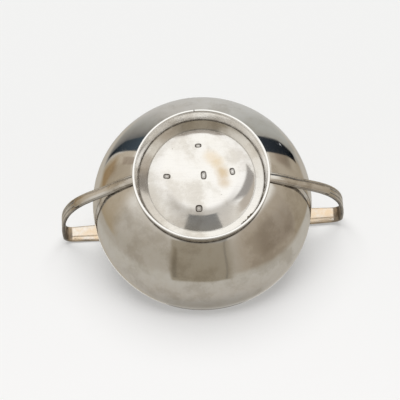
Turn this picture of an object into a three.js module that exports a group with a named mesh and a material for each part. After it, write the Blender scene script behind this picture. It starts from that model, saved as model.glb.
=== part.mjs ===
// A two-handled cup of raised sheet silver: a deep round bowl on a low collar foot,
// with two tall, square-topped strap handles soldered at the rim and at the foot.
// Millimetres, +Z up. The cup stands on Z = 0, its axis is Z and its handles lie along X.

import * as THREE from 'three';

// Bowl, outside
const BELLY_RADIUS = 54.5; // widest place
const BELLY_HEIGHT = 42.7; // height of the widest place
const BELLY_DROP = 43.4; // depth of the curve below the widest place
const BELLY_POWER = 1.77; // 2 is an ellipse, less is straighter sides
const RIM_RISE = 4.3; // height of the rim above the widest place
const RIM_INSET = 0.1; // how far the rim draws in from the widest place
const BOWL_WALL = 0.9;
const BASE_DOME = 2.8; // how far the base bulges down within the foot
const BASE_BLEND = 5.5; // how far the inside rounds from base to wall, each way

// Rim wire, laid on the edge of the bowl
const RIM_WIRE_HEIGHT = 0.8;
const RIM_WIRE_LIP = 0.1; // how far it stands out past the wall, each side
const RIM_WIRE_SHOULDER = 0.25; // upright share of its height, below the round

// Foot: a collar under the bowl, with a half-round wire along its lower edge
const FOOT_RADIUS = 32.5; // outside of the wire
const FOOT_WIRE_WIDTH = 1.6;
const FOOT_WIRE_HEIGHT = 1.3;
const FOOT_WIRE_LIP = 0.3; // how far the wire stands out past the collar
const FOOT_REST_WIDTH = 0.8; // flat underside that the cup stands on
const FOOT_TAPER = 0.5; // how far the collar draws in up to the bowl
const FOOT_WALL = 0.9;
const SEAT_MARGIN = 0.2; // flat seat on the bowl, past the collar on each side

// Strap handles
const LOOP_RISE = 33.9; // upper face of the level top, above the rim
const LOOP_REACH = 18.4; // outermost face, out from the widest place
const STRAP_THICKNESS = 1.6;
const STRAP_WIDTH_FOOT = 5.0;
const STRAP_WIDTH_RIM = 8.9;
const STRAP_TAPER = 1.8; // power of the widening from foot to top
const STRAP_EDGE = 0.35; // softened corners of the section
const STRAP_CROWN = 0.15; // how far the inner face bulges
const LEG_BELOW_RIM = 3.0; // how far the leg reaches down inside the rim
const LEG_END_ROUND = 1.5; // rounded corners of its lower end
const LEG_CORNER = 2.6; // radius of the corner over the rim
const ELBOW_RADIUS = 4.4; // radius of the outer corner
const ROOT_DISTANCE = 1.7; // from the collar out to the strap's end
const LANDING_RUN = 4.6; // how far out the strap lies on the bowl before it leaves it
const SWEEP_PULL_TOP = 42.0; // how long the strap keeps its way below the elbow
const SWEEP_PULL_FOOT = 19.8; // and above the landing
const LEAN = 2.0; // degrees that each handle leans along the rim, as it was soldered
const SOLDER_GAP = 0.3; // room for solder between the strap and the bowl

// Threads along the strap's outer face
const THREAD_SPACING = 0.18; // of the width, from the middle line
const THREAD_WIDTH = 0.55;
const THREAD_DEPTH = 0.28;
const THREAD_FADE = 4.0;

// Tongue: a strip on the strap's outer face, from the foot up to a round end
const TONGUE_LENGTH = 43.0;
const TONGUE_THICKNESS = 0.6;
const TONGUE_BORDER = 0.8; // strap showing on each side of it
const TONGUE_GAP = 0.05;
const TONGUE_BEVEL = 0.2;

// Solder
const BEAD_GAP = 0.05; // round each bead
const FOOT_SOLDER_LEG = 0.7;
const RIM_SOLDER_WIDTH = 6.0;
const RIM_SOLDER_HEIGHT = 1.2;
const RIM_SOLDER_DEPTH = 1.2;
const ROOT_SOLDER_WIDTH = 4.2;
const ROOT_SOLDER_THICKNESS = 1.2;
const ROOT_SOLDER_GAP = 0.12;

// Fineness
const ROUND_STEPS = 72;
const BOWL_STEPS = 17;
const RUN_STEPS = [3, 2, 6, 2, 7, 26, 4]; // along each run of the strap's middle line
const END_STEPS = 6; // round the tongue's end
const RIM_WIRE_STEPS = 5;
const SHORTEST_RUN = 0.01;

const SILVER = { color: 0xcdc8bf, roughness: 0.26, metalness: 1 };
const BRIGHT_SILVER = { color: 0xdcd8cf, roughness: 0.2, metalness: 1 };
const SOLDER = { color: 0x8c857a, roughness: 0.5, metalness: 1 };

function degrees(angle) {
  return angle * Math.PI / 180;
}

function piece(name, geometry, finish) {
  const mesh = new THREE.Mesh(geometry, new THREE.MeshStandardMaterial(finish));
  mesh.name = name;
  return mesh;
}

// A closed outline of (radius, height) points, turned about Z
function turned(outline) {
  const points = outline.map(([radius, height]) => new THREE.Vector2(radius, height));
  const geometry = new THREE.LatheGeometry(points, ROUND_STEPS);
  geometry.rotateX(Math.PI / 2);
  return geometry;
}

// Height of the bowl's outside below its widest place
function bellyHeight(radius) {
  const share = (radius / BELLY_RADIUS) ** BELLY_POWER;
  return BELLY_HEIGHT - BELLY_DROP * (1 - share) ** (1 / BELLY_POWER);
}

// Direction of the bowl's outside, going up and out, at a radius below the widest place
function bellyDirection(radius) {
  const step = 0.001;
  const rise = bellyHeight(radius + step) - bellyHeight(radius - step);
  return new THREE.Vector2(2 * step, rise).normalize();
}

// A point at a distance outside the bowl's outside face (inside, when it is negative)
function besideBelly(radius, distance) {
  const along = bellyDirection(radius);
  return new THREE.Vector2(
    radius + along.y * distance,
    bellyHeight(radius) - along.x * distance,
  );
}

const footBottomRadius = FOOT_RADIUS - FOOT_WIRE_LIP;
const footTopRadius = footBottomRadius - FOOT_TAPER;
const seatOuter = footTopRadius + SEAT_MARGIN;
const seatInner = footTopRadius - FOOT_WALL - SEAT_MARGIN;
const seatHeight = bellyHeight(seatOuter);
const baseMiddle = seatHeight - BASE_DOME;
const rimHeight = BELLY_HEIGHT + RIM_RISE;
const wallTop = rimHeight - RIM_WIRE_HEIGHT;
const rootRadius = footTopRadius + ROOT_DISTANCE;
const landingRadius = rootRadius + LANDING_RUN;
const handleTop = rimHeight + LOOP_RISE;
const handleReach = BELLY_RADIUS + LOOP_REACH;
const rimInner = upperRadius(wallTop) - BOWL_WALL - RIM_WIRE_LIP;
const legRadius = flatInside(rimInner, STRAP_WIDTH_RIM) - SOLDER_GAP - STRAP_THICKNESS / 2;

// Radius of the outside from the widest place up to the rim
function upperRadius(height) {
  return BELLY_RADIUS - RIM_INSET * ((height - BELLY_HEIGHT) / RIM_RISE) ** 2;
}

// How far out a flat bar of a width fits inside a round wall
function flatInside(radius, width) {
  return Math.sqrt(radius ** 2 - (width / 2) ** 2);
}

// Underside of the base within the foot, slightly domed downwards
function baseHeight(radius) {
  return baseMiddle + BASE_DOME * (radius / seatInner) ** 2;
}

// Radii from the seat out to the widest place, closer together as the wall steepens
function bellyRadii(from, steps) {
  const start = Math.acos((from / BELLY_RADIUS) ** (BELLY_POWER / 2));
  return Array.from({ length: steps }, (_, i) => {
    const angle = start * (1 - (i + 1) / steps);
    return BELLY_RADIUS * Math.cos(angle) ** (2 / BELLY_POWER);
  });
}

function bowlOutside() {
  const outline = [];
  const baseSteps = 3;
  for (let i = 0; i <= baseSteps; i += 1) {
    const radius = seatInner * i / baseSteps;
    outline.push([radius, baseHeight(radius)]);
  }
  outline.push([seatOuter, seatHeight]);
  for (const radius of bellyRadii(seatOuter, BOWL_STEPS).slice(0, -1)) {
    outline.push([radius, bellyHeight(radius)]);
  }
  outline.push([BELLY_RADIUS, BELLY_HEIGHT]);
  outline.push([upperRadius(wallTop), wallTop]);
  return outline;
}

function bowlInside() {
  const wallStart = seatOuter + BASE_BLEND / 2;
  const baseEnd = seatOuter - BASE_BLEND;
  const outline = [[upperRadius(wallTop) - BOWL_WALL, wallTop]];
  outline.push([BELLY_RADIUS - BOWL_WALL, BELLY_HEIGHT]);
  for (const radius of bellyRadii(wallStart, BOWL_STEPS - 2).slice(0, -1).reverse()) {
    const point = besideBelly(radius, -BOWL_WALL);
    outline.push([point.x, point.y]);
  }
  const wallEnd = besideBelly(wallStart, -BOWL_WALL);
  const wallDirection = bellyDirection(wallStart);
  const floor = new THREE.Vector2(baseEnd, baseHeight(baseEnd) + BOWL_WALL);
  const reach = (wallEnd.y - floor.y) / wallDirection.y;
  const corner = new THREE.Vector2(wallEnd.x - wallDirection.x * reach, floor.y);
  const blend = new THREE.QuadraticBezierCurve(wallEnd, corner, floor);
  for (const point of blend.getPoints(4)) {
    outline.push([point.x, point.y]);
  }
  outline.push([baseEnd / 2, baseHeight(baseEnd / 2) + BOWL_WALL]);
  outline.push([0, baseMiddle + BOWL_WALL]);
  return outline;
}

function bowl() {
  return piece('bowl', turned([...bowlOutside(), ...bowlInside()]), SILVER);
}

// Half-round wire, flat side down on the edge of the bowl
function rimWire() {
  const half = BOWL_WALL / 2 + RIM_WIRE_LIP;
  const middle = upperRadius(wallTop) - BOWL_WALL / 2;
  const shoulder = RIM_WIRE_HEIGHT * RIM_WIRE_SHOULDER;
  const crown = RIM_WIRE_HEIGHT - shoulder;
  const outline = [[middle - half, wallTop], [middle + half, wallTop]];
  for (let i = 0; i <= RIM_WIRE_STEPS; i += 1) {
    const angle = Math.PI * i / RIM_WIRE_STEPS;
    outline.push([middle + half * Math.cos(angle), wallTop + shoulder + crown * Math.sin(angle)]);
  }
  outline.push(outline[0]);
  return piece('rim_wire', turned(outline), BRIGHT_SILVER);
}

function footWire() {
  const middle = FOOT_RADIUS - FOOT_WIRE_WIDTH / 2;
  const restInner = middle - FOOT_REST_WIDTH / 2;
  const restOuter = middle + FOOT_REST_WIDTH / 2;
  const outer = FOOT_RADIUS;
  const inner = outer - FOOT_WIRE_WIDTH;
  const belly = FOOT_WIRE_HEIGHT / 2;
  const soft = FOOT_WIRE_HEIGHT / 6;
  const outline = [
    [restInner, 0],
    [restOuter, 0],
    [outer - soft, soft],
    [outer, belly],
    [outer - soft, FOOT_WIRE_HEIGHT - soft],
    [restOuter, FOOT_WIRE_HEIGHT],
    [restInner, FOOT_WIRE_HEIGHT],
    [inner + soft, FOOT_WIRE_HEIGHT - soft],
    [inner, belly],
    [inner + soft, soft],
    [restInner, 0],
  ];
  return piece('foot_wire', turned(outline), BRIGHT_SILVER);
}

function footCollar() {
  const outline = [
    [footBottomRadius - FOOT_WALL, FOOT_WIRE_HEIGHT],
    [footBottomRadius, FOOT_WIRE_HEIGHT],
    [footTopRadius, seatHeight],
    [footTopRadius - FOOT_WALL, seatHeight],
    [footBottomRadius - FOOT_WALL, FOOT_WIRE_HEIGHT],
  ];
  return piece('foot_collar', turned(outline), SILVER);
}

// The bead of solder in the corner between the base and the foot
function footSolder() {
  const outer = footTopRadius - FOOT_WALL - BEAD_GAP;
  const inner = outer - FOOT_SOLDER_LEG;
  const top = baseHeight(inner) - BEAD_GAP;
  const outline = [
    [outer, top - FOOT_SOLDER_LEG],
    [outer, top],
    [inner, top],
    [outer, top - FOOT_SOLDER_LEG],
  ];
  return piece('foot_solder', turned(outline), SOLDER);
}

// The strap's middle line in the plane of one handle: (distance from the axis, height),
// from the leg inside the rim, over the level top and the elbow, down and in to the foot
function strapLine() {
  const topHeight = handleTop - STRAP_THICKNESS / 2;
  const outerRadius = handleReach - STRAP_THICKNESS / 2;
  const offBowl = SOLDER_GAP + STRAP_THICKNESS / 2;
  const landing = besideBelly(landingRadius, offBowl);
  const landingWay = bellyDirection(landingRadius);
  const elbowHeight = topHeight - ELBOW_RADIUS;

  const line = new THREE.Path();
  line.moveTo(legRadius, rimHeight - LEG_BELOW_RIM);
  line.lineTo(legRadius, rimHeight - LEG_BELOW_RIM + LEG_END_ROUND);
  line.lineTo(legRadius, topHeight - LEG_CORNER);
  line.absarc(legRadius + LEG_CORNER, topHeight - LEG_CORNER, LEG_CORNER, Math.PI, Math.PI / 2, true);
  line.lineTo(outerRadius - ELBOW_RADIUS, topHeight);
  line.absarc(outerRadius - ELBOW_RADIUS, elbowHeight, ELBOW_RADIUS, Math.PI / 2, 0, true);
  line.bezierCurveTo(
    outerRadius, elbowHeight - SWEEP_PULL_TOP,
    landing.x + landingWay.x * SWEEP_PULL_FOOT, landing.y + landingWay.y * SWEEP_PULL_FOOT,
    landing.x, landing.y,
  );
  const onBowl = [0.75, 0.5, 0.25, 0].map((share) => {
    return besideBelly(rootRadius + (landingRadius - rootRadius) * share, offBowl);
  });
  line.splineThru(onBowl);
  return line;
}

// Stations along the middle line: place, way to the outer face, and length from the root
function stations() {
  const line = strapLine();
  const curves = line.curves.filter((curve) => curve.getLength() > SHORTEST_RUN);
  const found = [];
  curves.forEach((curve, i) => {
    const first = i === 0 ? 0 : 1;
    for (let k = first; k <= RUN_STEPS[i]; k += 1) {
      const point = curve.getPointAt(k / RUN_STEPS[i]);
      const way = curve.getTangentAt(k / RUN_STEPS[i]);
      found.push({ point, outward: new THREE.Vector2(-way.y, way.x) });
    }
  });
  let length = 0;
  for (let i = found.length - 1; i >= 0; i -= 1) {
    if (i < found.length - 1) {
      length += found[i].point.distanceTo(found[i + 1].point);
    }
    found[i].length = length;
  }
  return found;
}

function elbowLength(all) {
  const flat = all.filter(({ point }) => point.y > handleTop - STRAP_THICKNESS);
  return flat[0].length;
}

// Full width of the strap at a length from the root
function strapWidth(length, widest) {
  const share = Math.min(length / widest, 1);
  return STRAP_WIDTH_FOOT + (STRAP_WIDTH_RIM - STRAP_WIDTH_FOOT) * share ** STRAP_TAPER;
}

// How far a round corner of a radius has drawn in, at a distance from the end
function cornerInset(radius, distance) {
  const rest = Math.max(radius - distance, 0);
  return radius - Math.sqrt(radius ** 2 - rest ** 2);
}

// The station at a length from the root, between the two nearest ones
function stationAt(all, length) {
  const next = all.findLastIndex((station) => station.length >= length);
  const high = all[next];
  const low = all[Math.min(next + 1, all.length - 1)];
  const span = high.length - low.length;
  const share = span > 0 ? (length - low.length) / span : 0;
  return {
    point: low.point.clone().lerp(high.point, share),
    outward: low.outward.clone().lerp(high.outward, share).normalize(),
    length,
  };
}

// Section of the strap as (across, outward) points, with its two threads at a depth
function strapSection(width, depth) {
  const half = width / 2;
  const face = STRAP_THICKNESS / 2;
  const thread = THREAD_SPACING * width;
  const side = THREAD_WIDTH / 2;
  return [
    [-half + STRAP_EDGE, -face],
    [0, -face - STRAP_CROWN],
    [half - STRAP_EDGE, -face],
    [half, -face + STRAP_EDGE],
    [half, face - STRAP_EDGE],
    [half - STRAP_EDGE, face],
    [thread + side, face],
    [thread, face - depth],
    [thread - side, face],
    [-thread + side, face],
    [-thread, face - depth],
    [-thread - side, face],
    [-half + STRAP_EDGE, face],
    [-half, face - STRAP_EDGE],
    [-half, -face + STRAP_EDGE],
  ];
}

function tongueSection(half) {
  const low = STRAP_THICKNESS / 2 + TONGUE_GAP;
  const high = low + TONGUE_THICKNESS;
  return [
    [-half, low],
    [half, low],
    [half, high - TONGUE_BEVEL],
    [half - TONGUE_BEVEL, high],
    [-half + TONGUE_BEVEL, high],
    [-half, high - TONGUE_BEVEL],
  ];
}

// A closed body through a row of sections, each on its station of the middle line
function lofted(rows) {
  const count = rows[0].section.length;
  const positions = [];
  const faces = [];
  for (const { station, section } of rows) {
    for (const [across, out] of section) {
      const { point, outward } = station;
      positions.push(point.x + outward.x * out, across, point.y + outward.y * out);
    }
  }
  for (let i = 0; i < rows.length - 1; i += 1) {
    for (let k = 0; k < count; k += 1) {
      const a = i * count + k;
      const b = i * count + (k + 1) % count;
      faces.push(a, b, a + count, b, b + count, a + count);
    }
  }
  for (const end of [0, rows.length - 1]) {
    const middle = positions.length / 3;
    const sum = [0, 0, 0];
    for (let k = 0; k < count; k += 1) {
      for (let axis = 0; axis < 3; axis += 1) {
        sum[axis] += positions[(end * count + k) * 3 + axis] / count;
      }
    }
    positions.push(...sum);
    for (let k = 0; k < count; k += 1) {
      const a = end * count + k;
      const b = end * count + (k + 1) % count;
      faces.push(...(end === 0 ? [middle, b, a] : [middle, a, b]));
    }
  }
  const geometry = new THREE.BufferGeometry();
  geometry.setAttribute('position', new THREE.Float32BufferAttribute(positions, 3));
  geometry.setIndex(faces);
  geometry.computeVertexNormals();
  return geometry;
}

function strap(name, all) {
  const widest = elbowLength(all);
  const total = all[0].length;
  const rows = all.map((station) => {
    const past = station.length - TONGUE_LENGTH + THREAD_FADE;
    const left = total - station.length;
    const rise = THREE.MathUtils.clamp(past / THREAD_FADE, 0, 1);
    const fall = THREE.MathUtils.clamp(left / THREAD_FADE, 0, 1);
    const width = strapWidth(station.length, widest) - 2 * cornerInset(LEG_END_ROUND, left);
    return { station, section: strapSection(width, THREAD_DEPTH * Math.min(rise, fall)) };
  });
  return piece(name, lofted(rows), SILVER);
}

function tongue(name, all) {
  const widest = elbowLength(all);
  const endRadius = strapWidth(TONGUE_LENGTH, widest) / 2 - TONGUE_BORDER;
  const straight = all.filter(({ length }) => length < TONGUE_LENGTH - endRadius);
  const round = Array.from({ length: END_STEPS }, (_, i) => {
    const angle = Math.PI / 2 * i / END_STEPS;
    return stationAt(all, TONGUE_LENGTH - endRadius * (1 - Math.sin(angle)));
  });
  const rows = [...round.reverse(), ...straight].map((station) => {
    const full = strapWidth(station.length, widest) / 2 - TONGUE_BORDER;
    const half = full - cornerInset(endRadius, TONGUE_LENGTH - station.length);
    return { station, section: tongueSection(half) };
  });
  return piece(name, lofted(rows), SILVER);
}

// A bar of solder: corners of (distance from the axis, height), and its width across
function wedge(name, corners, width) {
  const shape = new THREE.Shape(corners);
  const geometry = new THREE.ExtrudeGeometry(shape, { depth: width, bevelEnabled: false });
  geometry.translate(0, 0, -width / 2);
  geometry.rotateX(Math.PI / 2);
  return piece(name, geometry, SOLDER);
}

// Solder under the end of the leg, against the inside of the bowl's wall
function rimSolder(name) {
  const wall = flatInside(rimInner, RIM_SOLDER_WIDTH) - SOLDER_GAP;
  const top = rimHeight - LEG_BELOW_RIM - BEAD_GAP;
  const corners = [
    new THREE.Vector2(wall, top - RIM_SOLDER_HEIGHT),
    new THREE.Vector2(wall - RIM_SOLDER_DEPTH, top),
    new THREE.Vector2(wall, top),
  ];
  return wedge(name, corners, RIM_SOLDER_WIDTH);
}

// Solder between the strap's end and the foot collar
function rootSolder(name) {
  const inner = footTopRadius + SOLDER_GAP;
  const outer = rootRadius - ROOT_SOLDER_GAP;
  const low = SOLDER_GAP + ROOT_SOLDER_THICKNESS;
  const corners = [
    besideBelly(inner, low),
    besideBelly(outer, low),
    besideBelly(outer, SOLDER_GAP),
    besideBelly(inner, SOLDER_GAP),
  ];
  return wedge(name, corners, ROOT_SOLDER_WIDTH);
}

// One handle, reaching out along +X and leaning about the rim
function handle(side) {
  const all = stations();
  const lean = new THREE.Group();
  lean.rotation.x = degrees(LEAN);
  lean.position.z = rimHeight;
  const parts = new THREE.Group();
  parts.position.z = -rimHeight;
  parts.add(
    strap(`${side}_handle`, all),
    tongue(`${side}_tongue`, all),
    rimSolder(`${side}_rim_solder`),
    rootSolder(`${side}_root_solder`),
  );
  lean.add(parts);
  return lean;
}

const cup = new THREE.Group();
cup.add(bowl(), rimWire(), footCollar(), footWire(), footSolder());

const right = handle('right');
const left = new THREE.Group();
left.rotation.z = Math.PI;
left.add(handle('left'));
cup.add(right, left);

export default cup;
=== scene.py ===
"""A two-handled silver cup, seen from under its foot as it lies upside down on a white sheet."""
import math
import random
from collections import namedtuple

import bpy
from mathutils import Matrix, Vector, noise

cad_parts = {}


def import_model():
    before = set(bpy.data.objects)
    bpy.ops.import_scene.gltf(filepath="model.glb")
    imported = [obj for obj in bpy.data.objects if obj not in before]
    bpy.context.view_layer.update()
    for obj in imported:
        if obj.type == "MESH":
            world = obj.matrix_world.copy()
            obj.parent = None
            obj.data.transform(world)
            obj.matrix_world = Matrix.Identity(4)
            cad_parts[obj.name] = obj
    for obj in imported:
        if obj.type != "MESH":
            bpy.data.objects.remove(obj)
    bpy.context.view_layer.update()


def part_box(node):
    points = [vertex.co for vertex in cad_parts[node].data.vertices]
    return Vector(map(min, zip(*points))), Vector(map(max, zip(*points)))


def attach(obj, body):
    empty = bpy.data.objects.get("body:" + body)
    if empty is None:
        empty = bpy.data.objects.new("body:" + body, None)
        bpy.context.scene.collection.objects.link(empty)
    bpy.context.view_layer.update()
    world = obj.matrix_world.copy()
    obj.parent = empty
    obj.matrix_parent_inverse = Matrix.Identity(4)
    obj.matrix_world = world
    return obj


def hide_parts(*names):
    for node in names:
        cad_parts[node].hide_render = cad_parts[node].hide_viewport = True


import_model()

MM = 0.001
SIDES = ("right", "left")

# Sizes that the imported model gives, in millimetres
BELLY_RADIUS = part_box("bowl")[1].x / MM
RIM_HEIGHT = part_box("rim_wire")[1].z / MM
WALL_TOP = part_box("rim_wire")[0].z / MM
FOOT_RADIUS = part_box("foot_wire")[1].x / MM
FOOT_WIRE_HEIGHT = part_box("foot_wire")[1].z / MM

# Sizes of the bowl, in millimetres
RIM_RISE = 4.3
RIM_INSET = 0.1
RIM_WIRE_LIP = 0.1
RIM_SLOPE = 0.5
RIM_GROOVE = 0.4
RIM_GROOVE_RISE = 0.6
BELLY_HEIGHT = RIM_HEIGHT - RIM_RISE
BELLY_DROP = 43.4
BELLY_POWER = 1.77
BOWL_WALL = 0.9

# Sizes of the foot. The bowl is a little fuller beside it than its plain curve, and its base
# is nearly level in the middle and rolls up towards the foot
FULLNESS = 0.9
FULLNESS_START = 30.5
FULLNESS_END = 44.0
BASE_RADIUS = 30.0
BASE_DOME = 0.25
BASE_LEVEL = 15.0
BASE_ROLL = 5.0
COLLAR_TOP = 31.3
COLLAR_COVE = 0.12
CREST_OUTER = 0.35
CREST_INNER = 0.9
WIRE_WIDTH = 1.32
WIRE_SHOULDER = 0.75
WIRE_INNER = FOOT_RADIUS - WIRE_WIDTH

# Sizes of the handles, with the leg inside the rim. NEAR_SIDE is the way across each strap
# to the edge that the camera sees: the tongue and the line in the loop lie on that side.
# LOOP_LINE and THREAD_SPACING are shares of the strap's width
NEAR_SIDE = {"right": -1, "left": 1}
LOOP_RISE = {"right": 33.55, "left": 33.9}
LEAN = {"right": math.radians(2.6), "left": math.radians(1.4)}
LOOP_REACH = 18.4
LOOP_LINE = 0.19
STRAP_THICKNESS = 1.6
STRAP_WIDTH_FOOT = 5.0
STRAP_WIDTH_RIM = 8.9
STRAP_TAPER = 1.8
STRAP_CROWN = 0.15
STRAP_SOFT = 0.4
LEG_BELOW_RIM = 3.0
LEG_END_ROUND = 1.5
LEG_CORNER = 2.6
ELBOW_RADIUS = 4.4
ROOT_RADIUS = 33.4
ROOT_OVERRUN = 2.5
LANDING_RUN = 9.0
LANDING_RADIUS = ROOT_RADIUS + LANDING_RUN
SWEEP_PULL_TOP = 42.0
SWEEP_PULL_FOOT = 15.5
SOLDER_GAP = 0.3
THREAD_SPACING = 0.18
THREAD_HALF = 0.5
THREAD_DEPTH = 0.4
THREAD_FADE = 4.0
TONGUE_LENGTH = 39.0
TONGUE_THICKNESS = 0.6
TONGUE_BORDER = 0.8
TONGUE_SHIFT = 0.4
TONGUE_CROWN = 0.3

# How dark a handle is painted, from 0 for clean to 1, and how far in its far border is. Only the leg's end
# is dirt; the rest is painted shade and a painted dark reflection
NEAR_RING_SHADE = 0.3
FAR_STEP_SHADE = 0.85
INNER_EDGE_SHADE = 0.85
BEND_SHADE = 0.85
LANDING_SHADE = 0.9
LOOP_LINE_REFLECTION = 0.95
LOOP_BORDER_SHADE = 0.65
LEG_END_DIRT = 0.7
FAR_BORDER_INSET = 1.1

# Blank struck marks on the base: place, turn in degrees, half length and half width
Mark = namedtuple("Mark", "x y turn half_length half_width")
MARKS = (
    Mark(0.6, 14.85, 0, 1.45, 0.95),
    Mark(16.2, 0.35, 8, 1.6, 1.15),
    Mark(-1.1, -0.2, 0, 1.25, 1.95),
    Mark(-14.7, 0.85, 80, 1.65, 1.15),
    Mark(2.0, -16.5, 0, 1.5, 1.6),
)
MARK_DEPTH = 0.14
MARK_EDGE = 0.3
MARK_SQUARENESS = 3

# Small dents in the bowl
Dent = namedtuple("Dent", "x y z radius depth")
DENTS = (
    Dent(39.8, -30.3, 28.3, 1.5, 0.09),
    Dent(37.9, -31.5, 28.2, 1.2, 0.07),
    Dent(-30.0, -34.0, 24.0, 4.0, 0.05),
    Dent(12.0, 44.0, 21.0, 5.0, 0.05),
)

# A nick in the foot's wire, and a ragged patch of solder inside the foot
NICK_ANGLE = math.radians(87)
NICK_WIDTH = 0.35
NICK_DEPTH = 0.3
PATCH_ANGLE = math.radians(-133)
PATCH_SPREAD = math.radians(11)

# How uneven the hammered sheet is, as (size, height, seed), slow waves first
BOWL_WAVES = ((30, 0.10, 3), (11, 0.030, 17))
COLLAR_WAVE = (16, 0.05, 29)

STEPS_ROUND = 384


# The bowl's form

def smooth(low, high, value):
    """0 below low, 1 above high, and an even rise between."""
    share = min(max((value - low) / (high - low), 0.0), 1.0)
    return share * share * (3 - 2 * share)


def fade(low, high, value):
    """1 below low, 0 above high, and an even fall between."""
    return 1 - smooth(low, high, value)


def evenly(start, end, steps):
    """Numbers from start to end in this many equal steps, with both ends."""
    return [start + (end - start) * i / steps for i in range(steps + 1)]


def plain_height(radius):
    """Height of the bowl's plain curve, below its widest place."""
    share = (radius / BELLY_RADIUS) ** BELLY_POWER
    return BELLY_HEIGHT - BELLY_DROP * (1 - share) ** (1 / BELLY_POWER)


def belly_height(radius):
    return plain_height(radius) - FULLNESS * fade(FULLNESS_START, FULLNESS_END, radius)


def direction(curve, radius):
    """Unit direction up and out along a curve of heights."""
    step = 0.001
    rise = curve(radius + step) - curve(radius - step)
    return Vector((2 * step, rise)).normalized()


def beside(curve, radius, distance):
    """A point outside the bowl's outside face (inside it, when the distance is negative)."""
    along = direction(curve, radius)
    return Vector((radius + along.y * distance, curve(radius) - along.x * distance))


def upper_radius(height):
    return BELLY_RADIUS - RIM_INSET * ((height - BELLY_HEIGHT) / RIM_RISE) ** 2


def base_height(radius):
    roll = max(radius - BASE_LEVEL, 0) / (BASE_RADIUS - BASE_LEVEL)
    depth = BASE_DOME * (1 - (radius / BASE_RADIUS) ** 2) + BASE_ROLL * (1 - roll ** 2)
    return belly_height(BASE_RADIUS) - depth


def belly_radii(start_radius, steps):
    """Radii from one radius out to the widest place, closer together as the wall steepens."""
    start = math.acos((start_radius / BELLY_RADIUS) ** (BELLY_POWER / 2))
    angles = evenly(start, 0, steps)[1:]
    return [BELLY_RADIUS * math.cos(angle) ** (2 / BELLY_POWER) for angle in angles]


def flat_inside(radius, width):
    """How far out a flat strip of this width fits inside a round wall."""
    return math.sqrt(radius ** 2 - (width / 2) ** 2)


RIM_INNER = upper_radius(WALL_TOP) - BOWL_WALL - RIM_WIRE_LIP
SEAM_HEIGHT = belly_height(COLLAR_TOP)


# Mesh building

def new_object(name, data):
    obj = bpy.data.objects.new(name, data)
    bpy.context.scene.collection.objects.link(obj)
    return obj


def mesh_object(name, points, faces, grime_and_shade, sharp=35):
    """A smooth-shaded object from points in millimetres, with the dirt and painted shade on each point."""
    mesh = bpy.data.meshes.new(name)
    mesh.from_pydata([Vector(p) * MM for p in points], [], faces)
    mesh.validate()
    mesh.shade_smooth()
    mesh.set_sharp_from_angle(angle=math.radians(sharp))
    obj = new_object(name, mesh)
    paint(obj, "grime_and_shade", grime_and_shade)
    return obj


def bands(rings, closed):
    """Faces between neighbouring rings of points, and from the last to the first if closed."""
    pairs = list(zip(rings, rings[1:]))
    if closed:
        pairs.append((rings[-1], rings[0]))
    faces = []
    for low, high in pairs:
        for k in range(len(low)):
            n = (k + 1) % len(low)
            corners = list(dict.fromkeys((low[k], low[n], high[n], high[k])))
            if len(corners) > 2:
                faces.append(corners)
    return faces


def turned(outline, closed=True):
    """Points and faces of an outline of (radius, height) turned about Z."""
    points = []
    rings = []
    for radius, height in outline:
        if radius < 1e-6:
            rings.append([len(points)] * STEPS_ROUND)
            points.append(Vector((0, 0, height)))
            continue
        rings.append(list(range(len(points), len(points) + STEPS_ROUND)))
        for k in range(STEPS_ROUND):
            angle = 2 * math.pi * k / STEPS_ROUND
            points.append(Vector((radius * math.cos(angle), radius * math.sin(angle), height)))
    return points, bands(rings, closed)


def loft(rows, ring=False):
    """Points and faces of a body through equal rows of points, with flat ends unless it is a ring."""
    count = len(rows[0])
    rings = [list(range(i * count, (i + 1) * count)) for i in range(len(rows))]
    ends = [] if ring else [rings[0][::-1], rings[-1]]
    return [point for row in rows for point in row], ends + bands(rings, ring)


def arc(centre, radii, start, end, steps):
    """Points along an arc of an ellipse, with both ends."""
    return [(centre[0] + radii[0] * math.cos(angle), centre[1] + radii[1] * math.sin(angle))
            for angle in evenly(start, end, steps)]


def paint(obj, name, values):
    """Stores one number on each point, for a material to read."""
    layer = obj.data.attributes.new(name, "FLOAT", "POINT")
    layer.data.foreach_set("value", values)


def waviness(point, normal, wave, share):
    """Moves a point along its normal as hammering and years of use left it."""
    size, height, seed = wave
    place = point / size + Vector((seed, 0, 0))
    return point + normal * (height * share * noise.noise(place))


# The bowl

def mark_depth(x, y):
    """Depth of the struck marks at a place on the base."""
    depth = 0.0
    for mark in MARKS:
        turn = math.radians(mark.turn)
        dx, dy = x - mark.x, y - mark.y
        along = dx * math.cos(turn) + dy * math.sin(turn)
        across = dy * math.cos(turn) - dx * math.sin(turn)
        shares = (abs(along / mark.half_length), abs(across / mark.half_width))
        reach = sum(share ** MARK_SQUARENESS for share in shares) ** (1 / MARK_SQUARENESS)
        outside = (reach - 1) * mark.half_width
        depth += MARK_DEPTH * fade(-MARK_EDGE, 0, outside)
    return depth


def dent_depth(point):
    depth = 0.0
    for dent in DENTS:
        apart = (point - Vector((dent.x, dent.y, dent.z))).length
        depth += dent.depth * fade(0, dent.radius, apart)
    return depth


def bowl_outside():
    """Outline from the middle of the base out to the rim, finer beside the foot."""
    seam_end = COLLAR_TOP + 2.4
    groove_start = WALL_TOP - RIM_GROOVE_RISE
    radii = evenly(BASE_RADIUS, seam_end, 24)[1:] + belly_radii(seam_end, 90)
    outline = [(radius, base_height(radius)) for radius in evenly(0, BASE_RADIUS, 90)]
    outline += [(radius, belly_height(radius)) for radius in radii]
    outline += [(upper_radius(height), height) for height in evenly(BELLY_HEIGHT, groove_start, 5)[1:]]
    for share in (0.4, 0.8, 1.0):
        height = groove_start + RIM_GROOVE_RISE * share
        outline.append((upper_radius(height) - RIM_GROOVE * share, height))
    return outline


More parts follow.
